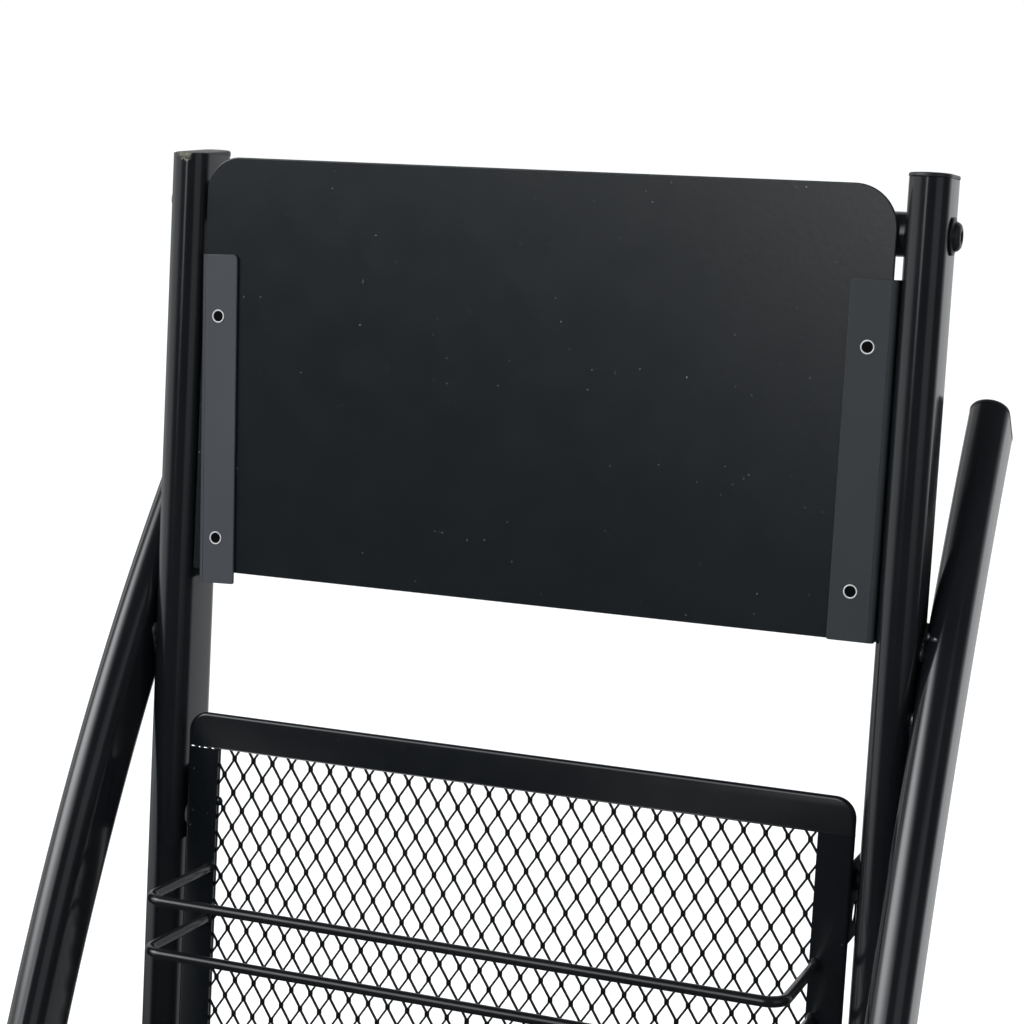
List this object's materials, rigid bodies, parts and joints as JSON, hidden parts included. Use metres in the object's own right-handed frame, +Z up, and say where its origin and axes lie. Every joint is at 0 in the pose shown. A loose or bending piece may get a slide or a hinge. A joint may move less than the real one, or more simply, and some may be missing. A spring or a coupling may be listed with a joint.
{
  "type": "literature display stand",
  "caption": "Leaning black steel magazine rack: oval uprights between bow-shaped legs, a blank header panel and expanded-mesh pockets with wire guards.",
  "frame": {"origin": "on the floor, under the centre of the stand's bounding box", "axes": "+Z up, -Y towards the reader at the front, +X to the right seen from the front"},
  "size_m": [0.3438, 0.3456, 1.3987],
  "materials": {
    "tube_enamel": "gloss black powder coat on oval steel tube",
    "bracket_enamel": "matt dark grey coat on folded steel",
    "panel_enamel": "semi-gloss black powder coat with a fine grain on sheet steel",
    "mesh_enamel": "satin black coat on expanded steel mesh",
    "wire_enamel": "gloss black coat on round steel wire",
    "black_screw": "black oxide on steel screws and rivets",
    "bright_rivet": "bright hollow steel rivets",
    "black_plastic": "moulded black plastic caps and shoes"
  },
  "bodies": {
    "root": {"upright_left": "tube_enamel", "upright_right": "tube_enamel", "bow_leg_left": "tube_enamel", "bow_leg_right": "tube_enamel", "top_crossbar": "tube_enamel", "front_crossbar": "tube_enamel", "rear_crossbar": "tube_enamel", "upright_cap_left": "black_plastic", "bow_cap_left": "black_plastic", "front_shoe_left": "black_plastic", "rear_shoe_left": "black_plastic", "upright_cap_right": "black_plastic", "bow_cap_right": "black_plastic", "front_shoe_right": "black_plastic", "rear_shoe_right": "black_plastic", "top_screw_left": "black_screw", "top_screw_right": "black_screw", "front_screw_left": "black_screw", "front_screw_right": "black_screw", "rear_screw_left": "black_screw", "rear_screw_right": "black_screw", "header_panel": "panel_enamel", "header_bracket_left": "bracket_enamel", "header_rivet_left_upper": "bright_rivet", "header_rivet_left_lower": "bright_rivet", "header_bracket_right": "bracket_enamel", "header_rivet_right_upper": "bright_rivet", "header_rivet_right_lower": "bright_rivet", "pocket_1_frame": "panel_enamel", "pocket_1_mesh": "mesh_enamel", "pocket_1_wire_upper": "wire_enamel", "pocket_1_wire_lower": "wire_enamel", "pocket_1_rivet_left_upper": "black_screw", "pocket_1_rivet_left_lower": "black_screw", "pocket_1_rivet_right_upper": "black_screw", "pocket_1_rivet_right_lower": "black_screw", "pocket_2_frame": "panel_enamel", "pocket_2_mesh": "mesh_enamel", "pocket_2_wire_upper": "wire_enamel", "pocket_2_wire_lower": "wire_enamel", "pocket_2_rivet_left_upper": "black_screw", "pocket_2_rivet_left_lower": "black_screw", "pocket_2_rivet_right_upper": "black_screw", "pocket_2_rivet_right_lower": "black_screw", "pocket_3_frame": "panel_enamel", "pocket_3_mesh": "mesh_enamel", "pocket_3_wire_upper": "wire_enamel", "pocket_3_wire_lower": "wire_enamel", "pocket_3_rivet_left_upper": "black_screw", "pocket_3_rivet_left_lower": "black_screw", "pocket_3_rivet_right_upper": "black_screw", "pocket_3_rivet_right_lower": "black_screw", "pocket_4_frame": "panel_enamel", "pocket_4_mesh": "mesh_enamel", "pocket_4_wire_upper": "wire_enamel", "pocket_4_wire_lower": "wire_enamel", "pocket_4_rivet_left_upper": "black_screw", "pocket_4_rivet_left_lower": "black_screw", "pocket_4_rivet_right_upper": "black_screw", "pocket_4_rivet_right_lower": "black_screw"}
  },
  "joints": []
}
